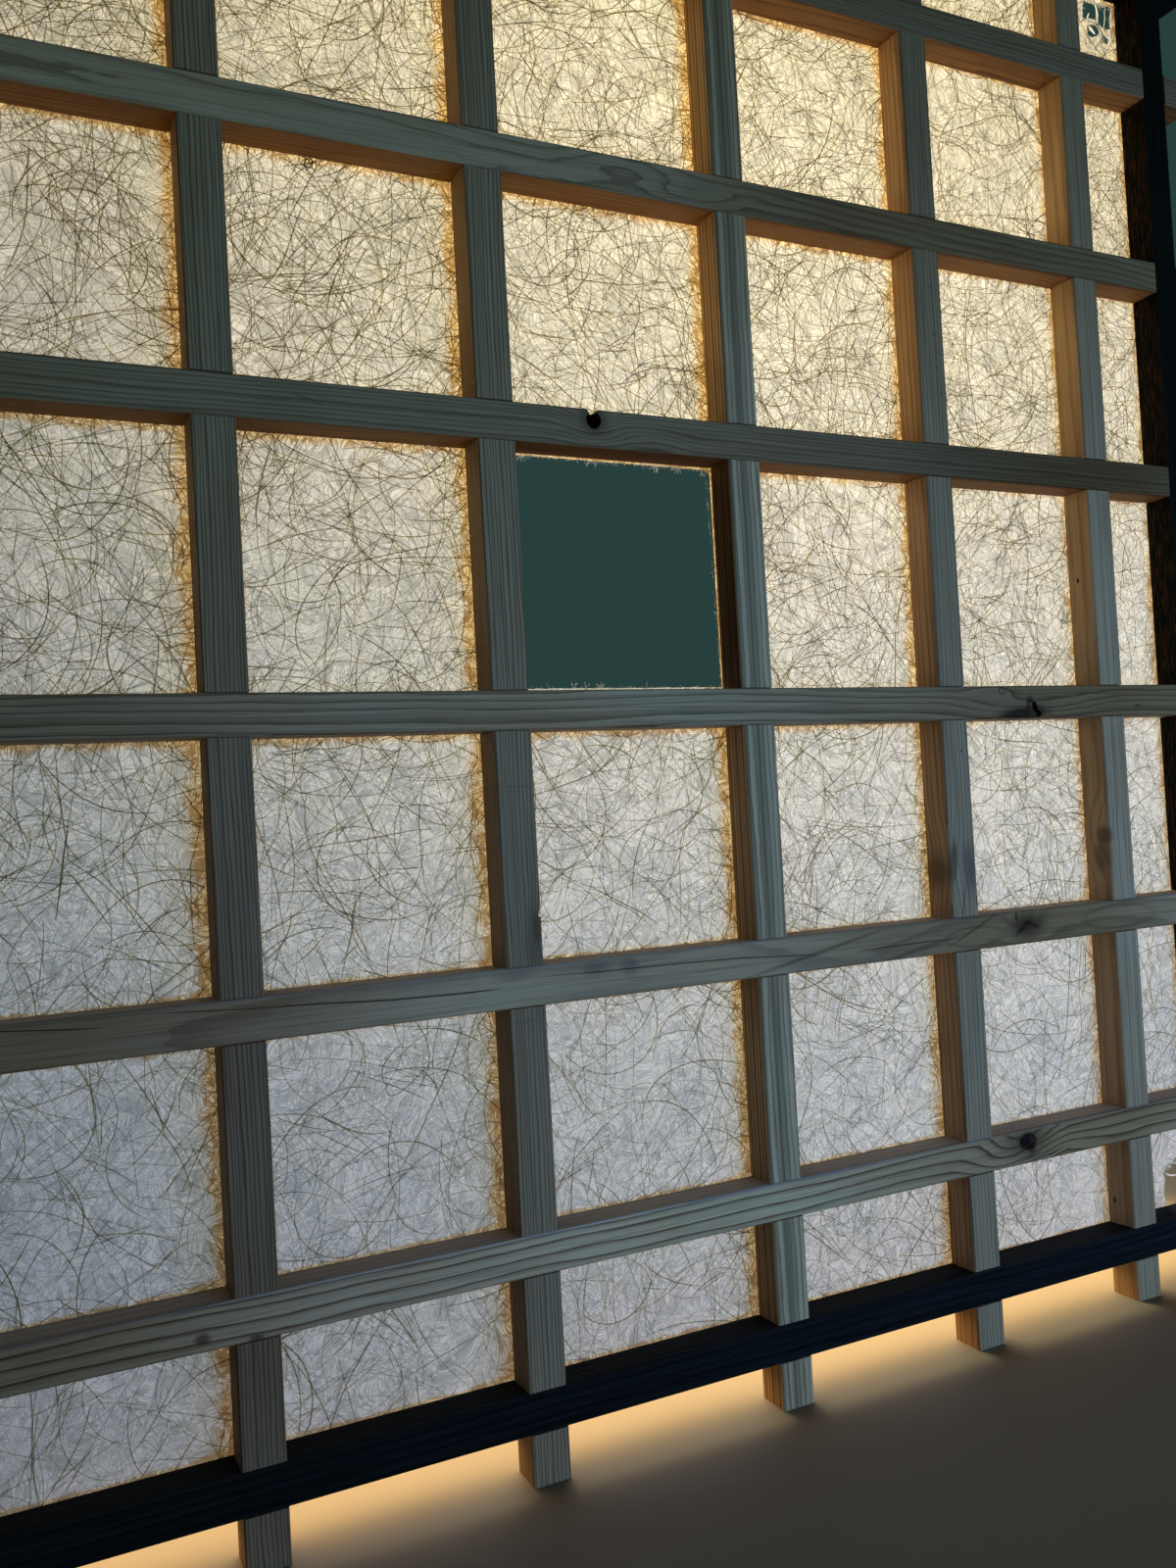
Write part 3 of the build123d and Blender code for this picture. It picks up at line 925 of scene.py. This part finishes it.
def ragged(outline, dice, play):
    """An outline with small tooth-like steps along it."""
    points = []
    for (x1, z1), (x2, z2) in edges(outline):
        span = dist((x1, z1), (x2, z2))
        teeth = max(2, round(span / (1.3 * mm)))
        across_x, across_z = (z2 - z1) / span, (x1 - x2) / span
        for step in range(teeth):
            off = dice.uniform(-play, play) if step else 0
            share = (step + dice.uniform(-0.3, 0.3) * (step > 0)) / teeth
            points.append((x1 + share * (x2 - x1) + off * across_x, z1 + share * (z2 - z1) + off * across_z))
    return points


def knife_for(outline):
    """A solid with this outline that reaches through the sheet."""
    curve = drawn("knife", [(outline, 1)])
    curve.data.splines[0].use_cyclic_u = True
    curve.data.fill_mode = "BOTH"
    curve.data.extrude = 5 * mm
    curve.rotation_euler = (pi / 2, 0, 0)
    curve.location.y = paper_depth
    knife = as_mesh(curve)
    settle(knife)
    edit_faces("SELECT", lambda: bpy.ops.mesh.remove_doubles(threshold=HAIRLINE))
    edit_faces("SELECT", lambda: bpy.ops.mesh.normals_make_consistent(inside=False))
    return knife


def cut_out(sheet, outline):
    """Takes an outline out of the sheet."""
    knife = knife_for(outline)
    pick(sheet)
    cut = sheet.modifiers.new("cut", "BOOLEAN")
    cut.operation = "DIFFERENCE"
    cut.solver = "EXACT"
    cut.object = knife
    bpy.ops.object.modifier_apply(modifier=cut.name)
    bpy.data.objects.remove(knife)


def drop_strays(sheet, outline):
    """An open sheet keeps some of the knife's own faces, which stand off its plane or span the hole."""
    edit_faces("DESELECT")
    corners = vertex_places(sheet.data)
    for face in sheet.data.polygons:
        strays = np.abs(corners[list(face.vertices), 1] - paper_depth).max() > HAIRLINE
        face.select = strays or inside(outline, face.center.x, face.center.z)
    edit_faces(None, lambda: bpy.ops.mesh.delete(type="FACE"))


class SHOJI_OT_lay_paper(bpy.types.Operator):
    """Make the sheet of paper, with its window cut and its corners torn"""

    bl_idname = "shoji.lay_paper"
    bl_label = "Paper sheet"

    def execute(self, context):
        paper = context.scene.shoji_paper
        deselect()
        size = paper_high.x - paper_low.x
        squares = 201
        bpy.ops.mesh.primitive_grid_add(
            x_subdivisions=squares, y_subdivisions=squares, size=size,
            location=(0, paper_depth, panel_middle), rotation=(pi / 2, 0, 0),
        )
        sheet = context.object
        sheet.name = sheet.data.name = "washi_sheet"
        settle(sheet)
        dice = np.random.default_rng(11)
        for outline in openings:
            play = 0.12 * mm if outline is window_cut else 0.35 * mm
            cut_out(sheet, ragged(outline, dice, play))
            drop_strays(sheet, outline)
        mesh = sheet.data
        places = vertex_places(mesh)
        gap = mesh.attributes.new("from_paste_and_glow_mm", "FLOAT", "POINT")
        gap.data.foreach_set("value", from_paste_and_glow(places[:, 0], places[:, 2]) / mm)
        swell_with_paper(mesh, paper.swell)
        bpy.ops.object.shade_smooth()
        mesh.materials.clear()
        mesh.materials.append(washi("washi", paper))
        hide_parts("paper_sheet")
        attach(sheet, "root")
        return {"FINISHED"}


class SHOJI_OT_scatter_fibres(bpy.types.Operator):
    """Lay the long fibres that cross the paper on both faces"""

    bl_idname = "shoji.scatter_fibres"
    bl_label = "Long fibres"

    def execute(self, context):
        paper = context.scene.shoji_paper
        wide = paper.fibre_width
        dice = np.random.default_rng(5)
        in_front = (paper.front_fibres, paper_low.y + 0.02 * mm, 1)
        behind = (paper.back_fibres, paper_high.y - 0.02 * mm, -1)
        # each group: its face of the sheet, its share of the fibres there, its section's width and ridge, its
        # middling length as a logarithm, how much it bends, and the share of it that is left low on the screen
        groups = {
            "fibres_fine_front": (in_front, 0.24, (0.7 * wide, 0), -3.4, 26, 1),
            "fibres_grey_front": (in_front, 0.31, (wide, 0), -3.1, 22, 0.5),
            "fibres_brown_front": (in_front, 0.41, (wide, 0), -3.15, 22, 0.16),
            "fibres_dark_front": (in_front, 0.04, (wide, 0.08 * mm), -2.9, 12, 0.22),
            "fibres_back": (behind, 1, (0.85 * wide, 0), -3.2, 22, 1),
        }
        longest = 0.12
        for name, ((count, y, towards), share, profile, reach_log, bending, low_share) in groups.items():
            fibres = []
            for _ in range(round(share * count)):
                start = (dice.uniform(paper_low.x, paper_high.x), dice.uniform(paper_low.z, paper_high.z))
                if dice.uniform(0, 1) > np.interp(start[1], (0.2, 0.55), (low_share, 1)):
                    continue
                reach = min(float(dice.lognormal(reach_log, 0.45)), longest)
                heading, bend = dice.uniform(0, 2 * pi), dice.normal(0, bending)
                points = curl(dice, start, heading, reach, bend, 5, 3.8 * mm, 48)
                width = float(np.clip(dice.lognormal(0, 0.3), 0.45, 1.7))
                fibres += [(stretch, width) for stretch in trimmed(points)]
            piece = laid(name, fibres, profile, y, towards, dice)
            swell_with_paper(piece.data, paper.swell)
            piece.data.materials.append(bast_fibre(name + "_bast"))
            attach(piece, "root")
        return {"FINISHED"}


# The torn strands in the upper and lower corners: three places on each, in millimetres on the panel, and how
# broad it is
STRANDS = [
    ([(369, 814.8), (370, 806.1), (371.3, 798.5)], 1.2),
    ([(371.3, 798.5), (373.2, 792.9), (374.6, 787)], 1.1),
    ([(358.6, 812.4), (368.3, 812.3), (378.2, 811.6)], 0.6),
    ([(379, 811.4), (376.9, 803.7), (376.3, 796.2)], 0.4),
    ([(386.4, 815.2), (384, 808.2), (382.2, 802.6)], 1.1),
    ([(382.2, 802.6), (382.3, 796.4), (384.3, 788)], 0.9),
    ([(364.1, 804.4), (362.1, 801.3), (360.4, 798.6)], 0.7),
    ([(361.4, 797.6), (367, 798.9), (371.3, 797.2)], 0.9),
    ([(371, 797.5), (375.1, 793.8), (379.6, 790.6)], 0.6),
    ([(361.6, 795.3), (364.4, 793.1), (367.2, 791)], 1.1),
    ([(374.2, 797.4), (377.6, 793.8), (380.4, 791)], 0.8),
    ([(362, 64.8), (369, 68.6), (377.4, 66.4)], 0.8),
    ([(363.4, 64.9), (367.3, 61.6), (378, 60.2)], 0.7),
    ([(367, 64.5), (369.2, 66.9), (370.4, 64.9)], 0.4),
    ([(376.2, 60), (379, 53.5), (378.2, 47.5)], 0.5),
]


def scattered(dice, ends, count):
    """Places at random along an edge."""
    (x1, z1), (x2, z2) = ends
    return [(x1 + share * (x2 - x1), z1 + share * (z2 - z1)) for share in dice.uniform(0, 1, count)]


def hair(dice, start, heading, long, lift):
    """A short curling fibre that leaves the paper's edge and stands off towards the front."""
    flat = curl(dice, start, heading, long, dice.normal(0, 260), 90, long / 5, 1200)
    rise = dice.uniform(0.1, 1) * lift * mm
    return [(x, paper_depth - rise * (step / len(flat)) ** 2, z) for step, (x, z) in enumerate(flat)]


class SHOJI_OT_fray_edges(bpy.types.Operator):
    """Pull fibres out of the cut edges of the window and hang torn strands in the corner holes"""

    bl_idname = "shoji.fray_edges"
    bl_label = "Frayed edges"

    def execute(self, context):
        dice = np.random.default_rng(23)
        fray = []
        low_left, high_left, high_right, _, low_right = window_cut
        # each side: where it runs, the way out of the paper, hairs on it and how long they are
        sides = [
            ((high_left, high_right), -pi / 2, 170, 0.9),
            ((high_right, low_right), pi, 130, 0.7),
            ((low_right, low_left), pi / 2, 90, 0.8),
            ((low_left, high_left), 0, 80, 0.6),
        ]
        for ends, outwards, count, reach in sides:
            for start in scattered(dice, ends, count):
                long = float(dice.lognormal(0, 0.5)) * reach * mm
                points = hair(dice, start, outwards + dice.normal(0, 0.8), long, 0.15)
                fray.append((points, dice.uniform(0.5, 1.1)))
        # tufts on the window's upper edge, each with its size, and smaller ones on its lower edge
        for x, size in ((-48.6, 0.5), (-10.7, 1), (26.5, 0.8), (39.6, 0.5), (54.3, 1)):
            for _ in range(7):
                start = (x * mm + dice.normal(0, 0.7 * mm), high_left[1])
                fray.append((hair(dice, start, -pi / 2 + dice.normal(0, 0.7), (2.6 + 1.6 * size) * mm, 0.5), 1))
        for x in (-26.5, -20.4, -12.1):
            for _ in range(3):
                start = (x * mm + dice.normal(0, 0.5 * mm), low_left[1])
                fray.append((hair(dice, start, pi / 2 + dice.normal(0, 0.5), 3.4 * mm, 0.5), 1.2))
        window_fray = threads("window_fray", fray, 0.22 * mm)

        ribbons = [(bowed(corners, 9), width) for corners, width in STRANDS]
        strands = laid("tear_strands", ribbons, (1.5 * mm, 0.25 * mm), paper_depth, 1)
        places = vertex_places(strands.data)
        places[:, 1] -= 1.1 * mm * (0.5 + 0.5 * np.sin(420 * places[:, 2] + 260 * places[:, 0]))
        move_vertices(strands.data, places)

        fray = []
        for ends in (ends for tear in tears for ends in edges(tear)):
            for start in scattered(dice, ends, max(2, round(dist(*ends) / (1.1 * mm)))):
                long = float(dice.lognormal(0, 0.6)) * 1.6 * mm
                points = hair(dice, start, dice.uniform(0, 2 * pi), long, 0.35)
                fray.append((points, dice.uniform(0.5, 1.3)))
        tear_fray = threads("tear_fray", fray, 0.24 * mm)
        pale = bast_fibre("loose_bast")
        for piece in (window_fray, strands, tear_fray):
            piece.data.materials.append(pale)
            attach(piece, "root")
        return {"FINISHED"}


# Each coarse fibre: three places on it, in millimetres, how thick it is and how far it bows off the paper
COARSE = [
    ([(-283, 485), (-262, 451), (-231, 452)], 1, 0.9),
    ([(105, 456), (103.5, 468), (99.6, 479)], 1, 0.9),
    ([(-123.9, 208.5), (-134.2, 199.5), (-133.2, 190.2)], 1, 0.9),
    ([(-133.2, 190.2), (-128.2, 185.6), (-110.3, 198.6)], 0.8, 0.4),
    ([(-130.3, 175.4), (-134.2, 155.6), (-130.6, 136.3)], 0.8, 0.5),
    ([(-164.1, 150.3), (-150.4, 159.2), (-136.3, 167.5)], 0.7, 0.4),
    ([(10, 171), (14.5, 165), (18, 160)], 1.2, 0.9),
    ([(-6.7, 350.7), (-3.6, 347.6), (-0.1, 349)], 1.2, 0.9),
    ([(-148, 618.4), (-149.5, 614.5), (-147, 611)], 1.7, 1.2),
    ([(-146.5, 618.4), (-146.2, 615), (-149, 612.5)], 1.4, 1),
    ([(-150.5, 618.4), (-147.5, 616.5), (-145.4, 613)], 1.3, 1.4),
    ([(-152.5, 617.6), (-148.5, 613.6), (-145, 616.8)], 1.2, 1),
    ([(-151, 615.8), (-147, 617.8), (-143.6, 614.6)], 1, 1.2),
    ([(381, 808.5), (383.9, 811.5), (385.4, 806)], 0.7, 3.5),
    ([(382, 803), (385.2, 806.5), (385.3, 799.5)], 0.7, 5),
    ([(384.9, 801), (383.2, 796), (385.3, 790.5)], 0.8, 2.2),
]


class SHOJI_OT_drop_loose_fibres(bpy.types.Operator):
    """Lay the few coarse fibres that stand out on the front of the paper"""

    bl_idname = "shoji.drop_loose_fibres"
    bl_label = "Coarse fibres"

    def execute(self, context):
        fibres = []
        for corners, width, rise in COARSE:
            path = []
            for step, (x, z) in enumerate(bowed(corners, 12)):
                path.append((x, paper_low.y - (0.15 + rise * sin(pi * step / 11)) * mm, z))
            fibres.append((path, width))
        strays = threads("coarse_fibres", fibres, 0.42 * mm)
        strays.data.materials.append(bast_fibre("dark_bark"))
        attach(strays, "root")
        return {"FINISHED"}


def lay_floor(colour):
    """A plain floor, faintly mottled."""
    bpy.ops.mesh.primitive_plane_add(size=14, location=(0, 0, 0))
    floor = bpy.context.object
    floor.name = "floor"
    recipe = Recipe("pale_floor")
    mottle = recipe.noise(recipe.place(), 2.2, 3)
    mottled = recipe.blend(recipe.span(mottle, 0.3, 0.7), colour, [0.96 * channel for channel in colour])
    floor.data.materials.append(recipe.finish(recipe.surface(mottled, 0.75, 0.2)))
    return floor


def dim_room(backdrop):
    """A dim room all round, which the camera sees as a plain backdrop."""
    recipe = Recipe("soft_room", "World")
    room = recipe.add("Background", {"Color": (0.85, 0.95, 1, 1), "Strength": 0.035}).outputs[0]
    plain = recipe.add("Background", {"Color": opaque(backdrop)}).outputs[0]
    seen = recipe.add("LightPath").outputs["Is Camera Ray"]
    return recipe.finish(recipe.add("MixShader", {0: seen, 1: room, 2: plain}).outputs[0])


def lamp(name, place, target, size, power, colour):
    """A soft light that the camera doesn't see."""
    facing = (Vector(target) - Vector(place)).to_track_quat("-Z", "Y").to_euler()
    bpy.ops.object.light_add(type="AREA", location=place, rotation=facing)
    light = bpy.context.object
    light.name = name
    light.data.shape = "RECTANGLE"
    light.data.size, light.data.size_y = size
    light.data.energy = power
    light.data.color = colour
    light.visible_camera = False
    return light


def camera_turn(right_turn, tilt, roll):
    """How a camera stands that is turned to the right from +Y, tilted up and rolled."""
    forward = Vector((sin(right_turn) * cos(tilt), cos(right_turn) * cos(tilt), sin(tilt)))
    right = Vector((cos(right_turn), -sin(right_turn), 0))
    up = right.cross(forward)
    rolled_right = cos(roll) * right + sin(roll) * up
    rolled_up = -sin(roll) * right + cos(roll) * up
    return Matrix((rolled_right, rolled_up, -forward)).transposed().to_euler()


# Each lamp: its place, where it faces, its size, its power, its colour and the things that it alone lights.
# The glow from behind falls on the paper and the floor, so that the strips are lit through the paper.
LAMPS = {
    "cool_sky_behind": (
        (0.088, 0.527, 0.281), (0, 0, 0.45), (0.9, 0.9), 4.15, (0.4, 0.585, 0.87), "paper_and_floor",
    ),
    "warm_sun_behind": (
        (0.045, 0.774, 0.629), (0.522, 0.091, 1.229), (0.45, 0.45), 17.8, (1, 0.775, 0.335), "paper_and_floor",
    ),
    "high_behind": ((1, 1.3, 1.6), (0.1, 0, 0.4), (1, 1), 26, (0.95, 0.98, 1), "wood"),
    "warm_under": ((0, 0.07, 0.018), (0, 0.07, -1), (0.94, 0.12), 0.9, (1, 0.6, 0.22), None),
    "front_fill": ((1.1, -3.7, 0.45), (0.1, 0, 0.3), (1.3, 1.3), 27, (0.41, 0.82, 0.84), "all_but_floor"),
    "low_front": ((0.45, -0.6, 0.16), (0.3, 0, 0.15), (0.5, 0.5), 2.3, (0.43, 0.745, 1.65), "all_but_floor"),
}


class SHOJI_OT_set_stage(bpy.types.Operator):
    """Set the floor, the soft lights and the camera"""

    bl_idname = "shoji.set_stage"
    bl_label = "Floor, lights and camera"

    def execute(self, context):
        scene = context.scene
        stage = scene.shoji_stage
        deselect()
        floor = lay_floor(stage.floor_colour)
        scene.world = dim_room(stage.backdrop_colour)

        lit = {name: bpy.data.collections.new(name) for name in ("paper_and_floor", "wood", "all_but_floor")}
        for thing in scene.objects:
            if thing.type == "MESH":
                lit["wood" if thing.name in frame["nodes"] else "paper_and_floor"].objects.link(thing)
                if thing is not floor:
                    lit["all_but_floor"].objects.link(thing)
        for name, (*settings, alone) in LAMPS.items():
            light = lamp(name, *settings)
            if alone:
                light.light_linking.receiver_collection = lit[alone]

        bpy.ops.object.camera_add(location=stage.eye, rotation=camera_turn(*stage.aim))
        camera = context.object
        camera.data.lens = stage.lens
        camera.data.sensor_width = 36
        camera.data.clip_start = 0.01
        scene.camera = camera
        scene.view_settings.view_transform = "Standard"
        return {"FINISHED"}


OPERATORS = [
    SHOJI_OT_finish_softwood, SHOJI_OT_finish_frame, SHOJI_OT_lay_paper, SHOJI_OT_scatter_fibres,
    SHOJI_OT_fray_edges, SHOJI_OT_drop_loose_fibres, SHOJI_OT_set_stage,
]


class SHOJI_PT_panel(bpy.types.Panel):
    """The screen's pieces and settings"""

    bl_label = "Shoji lattice screen"
    bl_idname = "SHOJI_PT_panel"
    bl_space_type = "VIEW_3D"
    bl_region_type = "UI"
    bl_category = "Shoji"

    def draw(self, context):
        for operator in OPERATORS:
            self.layout.operator(operator.bl_idname)
        for group, kind in GROUPS.items():
            box = self.layout.box()
            for setting in kind.__annotations__:
                box.prop(getattr(context.scene, group), setting)


def register():
    for group, kind in GROUPS.items():
        bpy.utils.register_class(kind)
        setattr(bpy.types.Scene, group, bpy.props.PointerProperty(type=kind))
    for kind in OPERATORS + [SHOJI_PT_panel]:
        bpy.utils.register_class(kind)


def unregister():
    for kind in [SHOJI_PT_panel] + OPERATORS[::-1]:
        bpy.utils.unregister_class(kind)
    for group, kind in GROUPS.items():
        delattr(bpy.types.Scene, group)
        bpy.utils.unregister_class(kind)


def main():
    register()
    for operator in OPERATORS:
        family, action = operator.bl_idname.split(".")
        getattr(getattr(bpy.ops, family), action)()


if __name__ == "__main__":
    main()
